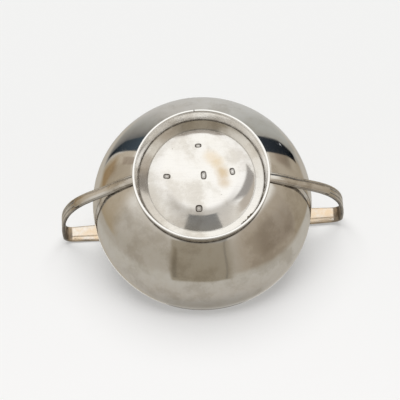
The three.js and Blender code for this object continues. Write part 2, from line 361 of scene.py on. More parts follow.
def bowl_inside():
    """Outline from the rim down the inside to the middle of the floor."""
    outline = [(upper_radius(WALL_TOP) - BOWL_WALL, WALL_TOP), (BELLY_RADIUS - BOWL_WALL, BELLY_HEIGHT)]
    for radius in belly_radii(COLLAR_TOP + 1, 60)[-2::-1]:
        outline.append(tuple(beside(belly_height, radius, -BOWL_WALL)))
    for radius in evenly(BASE_RADIUS - 1, 0, 40)[:-1]:
        outline.append(tuple(beside(base_height, radius, -BOWL_WALL)))
    outline.append((0, base_height(0) + BOWL_WALL))
    return outline


def outward(point, radius):
    """Unit direction straight out of the bowl's outside face."""
    around = max(radius, 0.01)
    if radius < BASE_RADIUS:
        way = direction(base_height, around)
    elif point.z > BELLY_HEIGHT - 1:
        way = Vector((0, 1))
    else:
        way = direction(belly_height, min(radius, BELLY_RADIUS - 0.5))
    return Vector((point.x / around * way.y, point.y / around * way.y, -way.x))


def bowl():
    outside = bowl_outside()
    points, faces = turned(outside + bowl_inside(), closed=False)
    outer_points = 1 + (len(outside) - 1) * STEPS_ROUND
    moved, dark = [], []
    for index, place in enumerate(points):
        radius = math.hypot(place.x, place.y)
        normal = outward(place, radius)
        inside = index >= outer_points
        to_collar = max(BASE_RADIUS - radius, radius - COLLAR_TOP, 0)
        calm = smooth(0, 2.5, WALL_TOP - place.z) * (1 if inside else smooth(0, 2.5, to_collar))
        point = place
        for wave in BOWL_WAVES:
            point = waviness(point, normal, wave, calm)
        seam_shade = 0.0
        if not inside:
            depth = mark_depth(place.x, place.y) if radius < BASE_RADIUS else dent_depth(place)
            point -= normal * depth
            # Dark lines by the foot's seams and in the groove under the rim wire: painted shade in these
            # crevices
            inner = 0.6 * fade(0.2, 0.7, abs(radius - BASE_RADIUS + 0.1))
            outer = fade(0.0, 0.7, radius - COLLAR_TOP) if radius > BASE_RADIUS else 0
            seam_shade = max(inner, outer, smooth(WALL_TOP - 0.7, WALL_TOP - 0.25, place.z))
        moved.append(point)
        dark.append(seam_shade)
    return mesh_object("silver_bowl", moved, faces, dark)


def rim_wire():
    """Wire along the rim, with a slope at its lower outer edge."""
    half = BOWL_WALL / 2 + RIM_WIRE_LIP
    middle = upper_radius(WALL_TOP) - BOWL_WALL / 2
    shoulder = WALL_TOP + (RIM_HEIGHT - WALL_TOP) * 0.25
    outline = [(middle - half, WALL_TOP), (middle + half - RIM_SLOPE, WALL_TOP)]
    outline += [(middle + half, WALL_TOP + RIM_SLOPE * 0.4)]
    outline += arc((middle, shoulder), (half, RIM_HEIGHT - shoulder), 0, math.pi, 10)
    points, faces = turned(outline)
    return mesh_object("silver_rim_wire", points, faces, [0.0] * len(points), sharp=50)


# The foot

def foot_wire():
    """Wire along the foot, worn flat where the cup stands on it, with one small nick."""
    outer_end = FOOT_RADIUS - CREST_OUTER
    inner_end = FOOT_RADIUS - CREST_INNER
    outline = arc((outer_end, WIRE_SHOULDER), (CREST_OUTER, WIRE_SHOULDER), 0, -math.pi / 2, 8)
    outline += [(radius, 0) for radius in evenly(outer_end, inner_end, 4)[1:-1]]
    outline += arc((inner_end, WIRE_SHOULDER), (inner_end - WIRE_INNER, WIRE_SHOULDER),
                   -math.pi / 2, -math.pi, 8)
    outline += [(WIRE_INNER, FOOT_WIRE_HEIGHT), (FOOT_RADIUS - 0.2, FOOT_WIRE_HEIGHT)]
    outline += [(FOOT_RADIUS, FOOT_WIRE_HEIGHT - 0.2)]
    points, faces = turned(outline)
    moved, dark = [], []
    for point in points:
        turn = math.atan2(point.y, point.x)
        notch = fade(0, NICK_WIDTH, abs(turn - NICK_ANGLE) * FOOT_RADIUS)
        notch *= fade(0, FOOT_WIRE_HEIGHT, point.z)
        moved.append(point + Vector((0, 0, NICK_DEPTH * notch)))
        # Darker towards the top, where the wire meets the collar: painted shade in that crevice
        seam_shade = 0.7 * smooth(WIRE_SHOULDER * 0.6, WIRE_SHOULDER, point.z)
        dark.append(max(notch, seam_shade))
    return mesh_object("silver_foot_wire", moved, faces, dark, sharp=60)


def foot_collar():
    """The low wall of the foot, drawn in towards the bowl; foot_solder fills its inner corner."""
    low = WIRE_SHOULDER + 0.1
    base_edge = base_height(BASE_RADIUS) + 0.1
    walls = (
        ((FOOT_RADIUS - 0.15, low), (COLLAR_TOP, SEAM_HEIGHT + 0.1), -COLLAR_COVE),
        ((BASE_RADIUS, base_edge), (WIRE_INNER, low), COLLAR_COVE),
    )
    outline = []
    for start, end, cove in walls:
        for share in evenly(0, 1, 24):
            radius, height = Vector(start).lerp(Vector(end), share)
            outline.append((radius + cove * math.sin(math.pi * share), height))
    points, faces = turned(outline)
    moved, dark = [], []
    for point in points:
        radius = math.hypot(point.x, point.y)
        out = Vector((point.x / radius, point.y / radius, 0))
        above = SEAM_HEIGHT - point.z if radius > COLLAR_TOP - 0.2 else base_edge - point.z
        ends = smooth(0, 2.0, point.z - low) * smooth(0, 2.0, above)
        moved.append(waviness(point, out, COLLAR_WAVE, ends))
        # Darker at the top where it meets the bowl, and at the foot where it meets the wire, most on the
        # outside: painted shade in these crevices
        bowl_seam_shade = fade(0, 0.35, above)
        outside = radius > FOOT_RADIUS - WIRE_WIDTH / 2
        wire_seam_shade = (0.6 if outside else 0.3) * fade(0, 0.45, point.z - FOOT_WIRE_HEIGHT)
        dark.append(max(bowl_seam_shade, wire_seam_shade))
    return mesh_object("silver_foot_collar", moved, faces, dark, sharp=50)


def foot_solder():
    """An uneven bead in the corner of base and foot, thick and ragged at one place."""
    random.seed(11)
    rows, dark = [], []
    for k in range(STEPS_ROUND):
        angle = 2 * math.pi * k / STEPS_ROUND
        apart = abs((angle - PATCH_ANGLE + math.pi) % (2 * math.pi) - math.pi)
        patch = fade(PATCH_SPREAD * 0.5, PATCH_SPREAD, apart)
        around = Vector((math.cos(angle), math.sin(angle), 0))
        size = 0.45 + 0.2 * noise.noise(around * 9) + patch * (0.4 + 0.7 * random.random())
        size = max(size, 0.2)
        corner = Vector((BASE_RADIUS + 0.25, base_height(BASE_RADIUS) + 0.15))
        row = []
        for turn in evenly(0, math.pi / 2, 7):
            radius = corner.x - (size + 0.25) * (1 - math.sin(turn) * 0.85)
            height = base_height(radius) + 0.05 - size * (1 - math.cos(turn)) * 0.8
            row.append(around * radius + Vector((0, 0, height)))
        row.append(around * corner.x + Vector((0, 0, corner.y)))
        rows.append(row)
        dark += [0.55 - 0.1 * patch] * len(row)
    points, faces = loft(rows, ring=True)
    return mesh_object("foot_solder_bead", points, faces, dark, sharp=60)


# The handles

Station = namedtuple("Station", "place out length")


def bezier(points, share):
    a, b, c, d = points
    rest = 1 - share
    return a * rest ** 3 + b * 3 * rest ** 2 * share + c * 3 * rest * share ** 2 + d * share ** 3


def strap_line(side):
    """Points of the strap's middle line, from the leg's end over the top down to the foot."""
    leg = flat_inside(RIM_INNER, STRAP_WIDTH_RIM) - SOLDER_GAP - STRAP_THICKNESS / 2
    top = RIM_HEIGHT + LOOP_RISE[side] - STRAP_THICKNESS / 2
    out = BELLY_RADIUS + LOOP_REACH - STRAP_THICKNESS / 2
    off_bowl = SOLDER_GAP + STRAP_THICKNESS / 2
    leg_end = RIM_HEIGHT - LEG_BELOW_RIM
    landing = beside(plain_height, LANDING_RADIUS, off_bowl)
    way = direction(plain_height, LANDING_RADIUS)
    elbow = Vector((out, top - ELBOW_RADIUS))
    line = []

    def straight(a, b, steps):
        line.extend(Vector(a).lerp(Vector(b), i / steps) for i in range(steps))

    def bend(centre, radius, start, end, steps):
        line.extend(Vector(p) for p in arc(centre, (radius, radius), start, end, steps)[:-1])

    straight((leg, leg_end), (leg, leg_end + LEG_END_ROUND), 6)
    straight((leg, leg_end + LEG_END_ROUND), (leg, top - LEG_CORNER), 20)
    bend((leg + LEG_CORNER, top - LEG_CORNER), LEG_CORNER, math.pi, math.pi / 2, 14)
    straight((leg + LEG_CORNER, top), (out - ELBOW_RADIUS, top), 12)
    bend((out - ELBOW_RADIUS, top - ELBOW_RADIUS), ELBOW_RADIUS, math.pi / 2, 0, 18)
    pulls = (elbow, elbow - Vector((0, SWEEP_PULL_TOP)), landing + way * SWEEP_PULL_FOOT, landing)
    line += [bezier(pulls, share) for share in evenly(0, 1, 90)[:-1]]
    radii = evenly(LANDING_RADIUS, ROOT_RADIUS - ROOT_OVERRUN, 14)
    line += [beside(plain_height, radius, off_bowl) for radius in radii]
    return line


def stations(side):
    """Places along the middle line, each with its way to the outer face and its length from the root."""
    line = strap_line(side)
    lengths = [-ROOT_OVERRUN]
    for a, b in zip(line[::-1], line[-2::-1]):
        lengths.append(lengths[-1] + (a - b).length)
    lengths.reverse()
    found = []
    for i, place in enumerate(line):
        before, after = line[max(i - 1, 0)], line[min(i + 1, len(line) - 1)]
        way = (after - before).normalized()
        found.append(Station(place, Vector((-way.y, way.x)), lengths[i]))
    return found


STATIONS = {side: stations(side) for side in SIDES}


def strap_width(side, length):
    """Narrow at the foot and growing up to the level top."""
    top_level = RIM_HEIGHT + LOOP_RISE[side] - STRAP_THICKNESS
    widest = next(station.length for station in STATIONS[side] if station.place.y > top_level)
    share = min(max(length / widest, 0), 1)
    return STRAP_WIDTH_FOOT + (STRAP_WIDTH_RIM - STRAP_WIDTH_FOOT) * share ** STRAP_TAPER


def corner_inset(radius, distance):
    """How far a round end of this radius draws in at a distance from its tip."""
    rest = max(radius - distance, 0)
    return radius - math.sqrt(radius ** 2 - rest ** 2)


def strap_section(width, depth):
    """Section of the strap as (across, outward) points, round-edged, with two threads."""
    flat = width / 2 - STRAP_SOFT
    face = STRAP_THICKNESS / 2
    low, high = STRAP_SOFT - face, face - STRAP_SOFT
    soft = (STRAP_SOFT, STRAP_SOFT)
    quarter = math.pi / 2
    thread = THREAD_SPACING * width
    section = []
    for across in evenly(-flat, flat, 28)[:-1]:
        section.append((across, -face - STRAP_CROWN * (1 - (across / flat) ** 2)))
    section += arc((flat, low), soft, -quarter, 0, 4)
    section += arc((flat, high), soft, 0, quarter, 4)
    for across in evenly(flat, -flat, 48)[1:-1]:
        groove = fade(0, THREAD_HALF, abs(abs(across) - thread))
        section.append((across, face - depth * groove))
    section += arc((-flat, high), soft, quarter, 2 * quarter, 4)
    section += arc((-flat, low), soft, 2 * quarter, 3 * quarter, 4)[:-1]
    return section


def on_handle(side, station, across, out):
    """A point of a handle, which leans a little along the rim."""
    flat = station.place + station.out * out
    return leaned(side, Vector((flat.x, across, flat.y)))


def leaned(side, point):
    """A point of a handle, turned about the rim's level by the handle's lean."""
    rim = Vector((0, 0, RIM_HEIGHT))
    return to_side(side, Matrix.Rotation(LEAN[side], 3, "X") @ (point - rim) + rim)


def to_side(side, point):
    return point if side == "right" else Vector((-point.x, -point.y, point.z))


def past_tongue(side, length, across):
    """Distance from the outline of the tongue, below 0 inside it."""
    half = strap_width(side, min(length, TONGUE_LENGTH)) / 2 - TONGUE_BORDER
    shifted = across - TONGUE_SHIFT * NEAR_SIDE[side]
    straight_end = TONGUE_LENGTH - half
    if length < straight_end:
        return abs(shifted) - half
    return math.hypot(shifted, length - straight_end) - half


def outer_shade_lines(side, length, width, depth, across):
    """Painted shade on the outer face: in the threads and round the tongue, less on its near side."""
    groove = 0.0
    if depth > 0.02:
        groove = 1 - min(abs(abs(across) - THREAD_SPACING * width) / THREAD_HALF, 1)
    ring = fade(0.2, 0.6, abs(past_tongue(side, length, across)))
    if across * NEAR_SIDE[side] > 0 and length < TONGUE_LENGTH - 4:
        ring *= NEAR_RING_SHADE
    return max(groove, ring)


def inner_shade_and_reflection(side, station, width, across):
    """Painted shade and reflection on the inner face: shade along its edges, in the bend and where it lies
    on the bowl, and a reflected line and a shaded border in the loop.
    """
    loop = in_loop(side, station)
    inset = 1.0 - 0.5 * loop
    edge = INNER_EDGE_SHADE * smooth(width / 2 - inset - 0.3, width / 2 - inset + 0.1, abs(across))
    towards = across * NEAR_SIDE[side]
    # A painted dark reflection as a line across the loop's top, and painted shade along its near border
    line = fade(0.15, 0.5, abs(towards - LOOP_LINE * width))
    border = smooth(width / 2 - 1.2, width / 2 - 0.5, towards)
    # Painted shade in the inner bend of the elbow, and where the strap lies against the bowl by the foot
    bend = smooth(0.1, 0.4, station.out.x) * smooth(RIM_HEIGHT + 8, RIM_HEIGHT + 24, station.place.y)
    lying = fade(LANDING_RUN + 3, LANDING_RUN + 9, station.length)
    in_top = loop * max(LOOP_LINE_REFLECTION * line, LOOP_BORDER_SHADE * border)
    return max(edge, in_top, BEND_SHADE * bend, LANDING_SHADE * lying)


def strap_dirt_and_shade(side, station, left, width, depth, across, out):
    """Darkness on a handle: painted dark reflections along its edges, painted shade on both faces, and dirt
    at the soldered end of its leg.
    """
    # The rounded edges are darker, more on the inner face: a painted dark reflection.
    edge = smooth(width / 2 - 0.4, width / 2 - 0.2, abs(across))
    value = edge * (0.4 + 0.5 * (out < 0))
    if out > 0:
        value = max(value, outer_shade_lines(side, station.length, width, depth, across))
    if out > 0.3:
        # A painted shade line at the tongue's step, in from the far edge.
        far_edge = width / 2 + across * NEAR_SIDE[side]
        value = max(value, FAR_STEP_SHADE * fade(0.1, 0.4, abs(far_edge - FAR_BORDER_INSET)))
    if out < 0:
        value = max(value, inner_shade_and_reflection(side, station, width, across))
    return max(value, LEG_END_DIRT * fade(0.5, 3.5, left))


def in_loop(side, station):
    """1 on the level top of the handle and 0 below it."""
    top = RIM_HEIGHT + LOOP_RISE[side]
    return smooth(top - 3.5, top - 1.5, station.place.y)


def handle(side):
    whole = STATIONS[side][0].length
    rows, dark, amber = [], [], []
    for station in STATIONS[side]:
        left = whole - station.length
        rise = smooth(0, THREAD_FADE, station.length - TONGUE_LENGTH + THREAD_FADE)
        depth = THREAD_DEPTH * min(rise, smooth(0, THREAD_FADE, left - 1))
        width = strap_width(side, station.length) - 2 * corner_inset(LEG_END_ROUND, left)
        section = strap_section(width, depth)
        rows.append([on_handle(side, station, across, out) for across, out in section])
        dark += [strap_dirt_and_shade(side, station, left, width, depth, across, out) for across, out in section]
        amber += [in_loop(side, station) * (out < 0) for across, out in section]
    points, faces = loft(rows)
    obj = mesh_object("silver_%s_handle" % side, points, faces, dark, sharp=40)
    paint(obj, "amber", amber)
    return obj


def station_at(side, length):
    """The station at any length from the root."""
    places = STATIONS[side]
    index = max(i for i, station in enumerate(places) if station.length >= length)
    high, low = places[index], places[min(index + 1, len(places) - 1)]
    span = max(high.length - low.length, 1e-9)
    share = (length - low.length) / span
    out = low.out.lerp(high.out, share).normalized()
    return Station(low.place.lerp(high.place, share), out, length)


def tongue(side):
    """The strip on the strap's outer face, from the foot up to its round end."""
    end_radius = strap_width(side, TONGUE_LENGTH) / 2 - TONGUE_BORDER
    straight_end = TONGUE_LENGTH - end_radius
    end_steps = 12
    lengths = []
    for i in range(end_steps, 0, -1):
        turn = math.pi / 2 * (i - 0.7) / end_steps
        lengths.append(straight_end + end_radius * math.sin(turn))
    lengths += [station.length for station in STATIONS[side] if station.length < straight_end]
    foot = STRAP_THICKNESS / 2 - 0.1
    face = STRAP_THICKNESS / 2 + TONGUE_THICKNESS
    rows, dark = [], []
    for length in lengths:
        station = station_at(side, length)
        full = strap_width(side, length) / 2 - TONGUE_BORDER
        half = max(full - corner_inset(end_radius, TONGUE_LENGTH - length), 0.25)
        soft = min(0.25, half * 0.8)
        flat = half - soft
        section = [(-half, foot), (half, foot)]
        section += arc((flat, face - soft), (soft, soft), 0, math.pi / 2, 4)
        for across in evenly(flat, -flat, 8)[1:-1]:
            section.append((across, face + TONGUE_CROWN * (1 - (across / flat) ** 2)))
        section += arc((-flat, face - soft), (soft, soft), math.pi / 2, math.pi, 4)
        shift = TONGUE_SHIFT * NEAR_SIDE[side]
        rows.append([on_handle(side, station, across + shift, out) for across, out in section])
        for across, out in section:
            # The tongue's side walls are painted dark, the far one nearly black: painted shade along its
            # step
            wall = out < face - soft * 0.7
            dark.append(wall * (0.3 if across * shift > 0 else 0.95))
    points, faces = loft(rows)
    return mesh_object("silver_%s_tongue" % side, points, faces, dark, sharp=40)


def bead(name, path, size, seed, darkness):
    """An uneven run of solder along a path of points."""
    random.seed(seed)
    steps = 10
    rows = []
    for i, point in enumerate(path):
        before, after = path[max(i - 1, 0)], path[min(i + 1, len(path) - 1)]
        way = (after - before).normalized()
        first = way.orthogonal().normalized()
        second = way.cross(first)
        end = min(i, len(path) - 1 - i)
        radius = size * (0.8 + 0.35 * random.random()) * (0.3 if end == 0 else 1)
        turns = [2 * math.pi * k / steps for k in range(steps)]
        rows.append([point + (first * math.cos(a) + second * math.sin(a)) * radius for a in turns])
    points, faces = loft(rows)
    return mesh_object(name, points, faces, [darkness] * len(points), sharp=70)


def rim_solder(side):
    """Solder round the end of the leg, where it lies inside the bowl's wall."""
    leg_end = RIM_HEIGHT - LEG_BELOW_RIM
    bead_top = RIM_HEIGHT - 1.0
    half = STRAP_WIDTH_RIM / 2 - 0.1
    steps = 8
    path = [(half, height) for height in evenly(bead_top, leg_end + 0.8, steps)[:-1]]
    path += [(across, leg_end) for across in evenly(half - 0.6, 0.6 - half, steps - 1)]
    path += [(-across, height) for across, height in path[steps - 1::-1]]
    wall = BELLY_RADIUS - BOWL_WALL - 0.2
    points = [leaned(side, Vector((flat_inside(wall, 2 * y), y, height))) for y, height in path]
    return bead("%s_rim_solder_bead" % side, points, size=0.32, seed=5, darkness=0.75)


def root_solder(side):
    """Solder along both edges of the strap, where it lies on the bowl beside the foot."""
    reach = LANDING_RADIUS + 1.5
    start = COLLAR_TOP + 0.3
    half_out = strap_width(side, reach - ROOT_RADIUS) / 2
    half_in = STRAP_WIDTH_FOOT / 2
    steps = 12
    path = list(zip(evenly(reach, start, steps), evenly(half_out, half_in, steps)))[:-1]
    path += [(start, across) for across in evenly(half_in, -half_in, 5)]
    path += [(radius, -across) for radius, across in path[steps - 1::-1]]
    points = []
    for radius, across in path:
        place = beside(belly_height, radius, 0.1)
        slid = across - (place.y - RIM_HEIGHT) * math.sin(LEAN[side])
        points.append(to_side(side, Vector((flat_inside(place.x, 2 * slid), slid, place.y))))
    # The solder is painted nearly black: its own dull colour and painted shade between strap and bowl
    return bead("%s_root_solder_bead" % side, points, size=0.26, seed=6, darkness=0.9)


# Materials

def tone(red, green, blue, share=1.0):
    """A colour as it is seen on a screen, 0 to 255, for a shader that dims it by a share."""
    def part(value):
        value /= 255
        level = value / 12.92 if value <= 0.04045 else ((value + 0.055) / 1.055) ** 2.4
        return level / share
    return (part(red), part(green), part(blue), 1.0)


class Nodes:
    """Short calls to build a node tree."""

    def __init__(self, tree):
        self.tree = tree
        tree.nodes.clear()

    def put(self, node, key, value):
        if isinstance(value, bpy.types.NodeSocket):
            self.tree.links.new(value, node.inputs[key])
        else:
            node.inputs[key].default_value = value

    def add(self, kind, inputs=None, **settings):
        node = self.tree.nodes.new(kind)
        for key, value in settings.items():
            setattr(node, key, value)
        for key, value in (inputs or {}).items():
            self.put(node, key, value)
        return node

    def math(self, operation, *values, clamp=False):
        inputs = dict(enumerate(values))
        return self.add("ShaderNodeMath", inputs, operation=operation, use_clamp=clamp).outputs[0]

    def plus(self, first, second, clamp=False):
        return self.math("ADD", first, second, clamp=clamp)

    def minus(self, first, second):
        return self.math("SUBTRACT", first, second)

    def times(self, first, second, clamp=False):
        return self.math("MULTIPLY", first, second, clamp=clamp)

    def vector(self, operation, *values, output=0):
        inputs = dict(enumerate(values))
        return self.add("ShaderNodeVectorMath", inputs, operation=operation).outputs[output]

    def parts(self, vector):
        return self.add("ShaderNodeSeparateXYZ", {0: vector}).outputs

    def dot(self, vector, direction):
        return self.vector("DOT_PRODUCT", vector, tuple(direction), output="Value")

    def ease(self, value, low, high, start=0.0, end=1.0):
        inputs = {"Value": value, "From Min": low, "From Max": high, "To Min": start, "To Max": end}
        node = self.add("ShaderNodeMapRange", inputs, interpolation_type="SMOOTHSTEP", clamp=True)
        return node.outputs[0]

    def blend(self, share, first, second):
        node = self.add("ShaderNodeMix", data_type="RGBA", blend_type="MIX")
        for key, value in ((0, share), (6, first), (7, second)):
            self.put(node, key, value)
        return node.outputs[2]

    def mix_shader(self, share, first, second):
        inputs = {0: share, 1: first.outputs[0], 2: second.outputs[0]}
        return self.add("ShaderNodeMixShader", inputs)

    def ramp(self, value, stops):
        """Colour that changes evenly between stops of (value, colour)."""
        low, high = stops[0][0], stops[-1][0]
        share = self.math("DIVIDE", self.minus(value, low), high - low, clamp=True)
        node = self.add("ShaderNodeValToRGB", {0: share})
        elements = node.color_ramp.elements
        while len(elements) < len(stops):
            elements.new(0.5)
        for element, (place, colour) in zip(elements, stops):
            element.position = (place - low) / (high - low)
            element.color = colour
        return node.outputs[0]

    def noise(self, vector, scale, detail=4, roughness=0.5):
        inputs = {"Vector": vector, "Scale": scale, "Detail": detail, "Roughness": roughness}
        return self.add("ShaderNodeTexNoise", inputs).outputs["Fac"]


def new_material(name):
    material = bpy.data.materials.new(name)
    material.use_nodes = True
    return material, Nodes(material.node_tree)


CLEAN = tone(246, 244, 241)
# A paler silver: on the wires it is partly rubbed bright by use and partly a painted highlight, for
# brighter lines
PALE_SILVER = tone(252, 251, 249)
WARM = tone(228, 221, 208)
BRUSHED = tone(196, 194, 190)
AMBER = tone(238, 215, 186)
CLOUD = tone(198, 191, 181)
# Dark brown for dirt, and for painted shade in seams, bends and along the handles' edges
DIRT_AND_SHADE = tone(62, 51, 40)
DARK_SOLDER = tone(120, 112, 98)

Stain = namedtuple("Stain", "centre reach strength colour")
WARM_STAINS = (
    Stain((-0.0048, 0.0088, 0.0026), 0.0055, 0.4, tone(228, 200, 154)),
    Stain((-0.0082, 0.0055, 0.0026), 0.0050, 0.5, tone(222, 194, 144)),
    Stain((-0.0103, 0.0008, 0.0026), 0.0048, 0.7, tone(206, 178, 132)),
    Stain((-0.0108, -0.0042, 0.0026), 0.0045, 0.55, tone(204, 178, 140)),
)


def mark_lines(n, place):
    """Dirt along the edges of the struck marks, and less of it inside them."""
    dark_share = 0.0
    for mark in MARKS:
        away = n.vector("SUBTRACT", place, (mark.x * MM, mark.y * MM, 0))
        turned_back = n.add("ShaderNodeVectorRotate", {"Vector": away, "Angle": -math.radians(mark.turn)},
                            rotation_type="Z_AXIS").outputs[0]
        half = (mark.half_length * MM, mark.half_width * MM, 1)
        parts = n.parts(n.vector("ABSOLUTE", n.vector("DIVIDE", turned_back, half)))
        powers = [n.math("POWER", parts[i], MARK_SQUARENESS) for i in (0, 1)]
        reach = n.math("POWER", n.plus(*powers), 1 / MARK_SQUARENESS)
        line = n.ease(n.math("ABSOLUTE", n.minus(reach, 0.88)), 0.3, 0.12)
        inside = n.ease(n.math("ABSOLUTE", n.minus(reach, 0.5)), 0.3, 0.1, 0.15, 0.5)
        inside = n.times(inside, n.ease(reach, 1.0, 0.9))
        dark_share = n.math("MAXIMUM", dark_share, n.math("MAXIMUM", line, inside))
    low = n.ease(n.parts(place)[2], 0.009, 0.008)
    return n.times(dark_share, low)


def worn_colour(n, place, grime_and_shade, patch, tarnish, clean, stains):
    """Colour of worn silver and the share of dirt, painted shade and tarnish on it."""
    cloud = n.noise(place, 55, 5, 0.6)
    mottle = n.plus(n.times(cloud, 0.7), n.times(patch, 0.3))
    warm = n.ease(mottle, 0.42, 0.66)
    colour = n.blend(n.times(warm, tarnish), clean, WARM)
    dull = n.ease(n.noise(place, 52, 5, 0.66), 0.48, 0.64, 0.0, tarnish * 1.4)
    colour = n.blend(dull, colour, CLOUD)
    for stain in stains:
        apart = n.vector("DISTANCE", place, stain.centre, output="Value")
        uneven = n.times(n.minus(patch, 0.5), stain.reach * 0.9)
        share = n.ease(n.plus(apart, uneven), stain.reach, stain.reach * 0.1, 0.0, stain.strength)
        colour = n.blend(share, colour, stain.colour)
    speck = n.noise(place, 420, 3, 0.7)
    # The dark share is dirt and painted shade, as the points' attribute gives it.
    dark_share = n.times(grime_and_shade, n.ease(speck, 0.25, 0.62, 0.7, 1.0), clamp=True)
    return n.blend(dark_share, colour, DIRT_AND_SHADE), dark_share, warm


def small_pits(n, place):
    """A few dark points, where the silver is pitted."""
    cells = n.add("ShaderNodeTexVoronoi", {"Vector": place, "Scale": 230}, feature="F1")
    near = n.ease(cells.outputs["Distance"], 0.055, 0.03)
    chosen = n.ease(n.add("ShaderNodeSeparateColor", {0: cells.outputs["Color"]}).outputs[0], 0.93, 0.95)
    return n.times(near, chosen)


# The turn and the stretch of each set of fine lines
SCRATCHES = (
    ((0.3, 0.5, 0.9), (1, 14, 3)),
    ((0.9, -0.4, 2.3), (12, 1, 4)),
    ((0, 0, 0.05), (1, 16, 16)),
)


def fine_scratches(n, place):
    """Fine lines in a few directions, from polishing and use."""
    total = 0.0
    for turns, stretch in SCRATCHES:
        stretched = n.add("ShaderNodeMapping", {"Vector": place, "Rotation": turns, "Scale": stretch})
        lines = n.noise(stretched.outputs[0], 280, 3, 0.6)
        total = n.plus(total, n.math("DIVIDE", lines, len(SCRATCHES)))
    return total


def wipe_streaks(n, place):
    """Broad faint streaks from the foot to the rim, as a polishing cloth leaves them."""
    level = n.vector("MULTIPLY", place, (1, 1, 0))
    round_ = n.vector("NORMALIZE", level)
    climb = n.vector("MULTIPLY", place, (0, 0, 18))
    return n.noise(n.vector("ADD", round_, climb), 13, 4, 0.6)


def brush_lines(n, place):
    """Fine level lines on the base, from side to side."""
    stretched = n.add("ShaderNodeMapping", {"Vector": place, "Rotation": (0, 0, 0.06), "Scale": (1, 16, 1)})
    return n.noise(stretched.outputs[0], 190, 5, 0.75)


def silver(name, roughness, tarnish, scratch, clean=CLEAN, stains=(), marks=False, brush=0.0):
    """Worn polished silver: warm tarnish in clouds, dirt and painted shade in the corners and along edges,
    streaks and scratches.
    """
    material, n = new_material(name)
    place = n.add("ShaderNodeTexCoord").outputs["Object"]
    grime_and_shade = n.add("ShaderNodeAttribute", attribute_name="grime_and_shade").outputs["Fac"]
    if marks:
        grime_and_shade = n.math("MAXIMUM", grime_and_shade, mark_lines(n, place))
    patch = n.noise(place, 170, 4, 0.65)
    colour, dark_share, warm = worn_colour(n, place, grime_and_shade, patch, tarnish, clean, stains)
    pit = small_pits(n, place)
    colour = n.blend(n.times(pit, 0.75), colour, DIRT_AND_SHADE)
    amber = n.add("ShaderNodeAttribute", attribute_name="amber").outputs["Fac"]
    colour = n.blend(n.times(amber, n.ease(patch, 0.35, 0.65, 0.3, 1.0)), colour, AMBER)
    wall = n.ease(n.parts(place)[2], 0.0085, 0.0105)
    streaks = n.times(wipe_streaks(n, place), wall)
    colour = n.blend(n.ease(streaks, 0.4, 0.75, 0.0, 0.8 * tarnish), colour, WARM)
    brushed = n.times(brush_lines(n, place), n.minus(1.0, wall))
    colour = n.blend(n.ease(brushed, 0.45, 0.75, 0.0, brush), colour, BRUSHED)
    scratches = fine_scratches(n, place)
    for part in (
        n.times(warm, 0.03),
        n.ease(scratches, 0.5, 0.66, 0.0, scratch),
        n.ease(streaks, 0.4, 0.7, 0.0, scratch * 0.8),
        n.ease(brushed, 0.4, 0.7, 0.0, brush * 0.9),
        n.times(dark_share, 0.35),
    ):
        roughness = n.plus(roughness, part, clamp=True)
    hammer = n.noise(place, 120, 2, 0.4)
    height = n.plus(hammer, n.times(scratches, 0.06))
    height = n.minus(height, n.times(pit, 0.4))
    bump = n.add("ShaderNodeBump", {"Height": height, "Strength": 0.3, "Distance": 0.0001})
    shader = n.add("ShaderNodeBsdfPrincipled", {
        "Base Color": colour, "Roughness": roughness, "Metallic": 1.0, "Normal": bump.outputs[0]})
    n.add("ShaderNodeOutputMaterial", {"Surface": shader.outputs[0]})
    return material


# World, lamps and stage

# The sheet that the cup lies on, as the upright cup sees it: its unit normal on the side
# of the camera, the way across it to the far side, and the picture's right
SHEET_UP = Vector((0, 0.5623, -0.8269))
SHEET_FAR = Vector((0, 0.8269, 0.5623))
SHEET_RIGHT = Vector((-1, 0, 0))
BACKGROUND = tone(243, 242, 241)
SILVER_SHARE = 0.88


def seen(colour):
    """A colour of the room that polished silver shows as this one."""
    return tone(*colour, SILVER_SHARE)


def seen_stops(stops):
    return [(place, seen(colour)) for place, colour in stops]


# The studio as the silver mirrors it, by height above the sheet in degrees
STUDIO_HEIGHTS = (
    (-90, (139, 134, 126)),
    (-75, (149, 145, 138)),
    (-58, (168, 163, 155)),
    (-38, (173, 169, 161)),
    (-28, (172, 168, 159)),
    (-22, (162, 156, 146)),
    (-12, (160, 154, 143)),
    (-4, (168, 162, 152)),
    (4, (178, 173, 164)),
    (10, (198, 194, 187)),
    (18, (213, 210, 203)),
    (30, (228, 225, 219)),
    (50, (236, 235, 232)),
    (64, (244, 243, 241)),
    (73, (247, 246, 243)),
    (90, (246, 245, 241)),
)

# The grey wall on the far side, by direction round the sheet's normal in degrees
FAR_WALL_TOP = 34
FAR_WALL_ROUND = (
    (-38, (88, 88, 88)),
    (-34, (98, 98, 97)),
    (-30, (124, 122, 118)),
    (-24, (145, 144, 139)),
    (-12, (180, 178, 174)),
    (4, (189, 188, 185)),
    (18, (180, 180, 177)),
    (26, (166, 166, 162)),
    (34, (160, 160, 155)),
    (42, (146, 144, 138)),
)

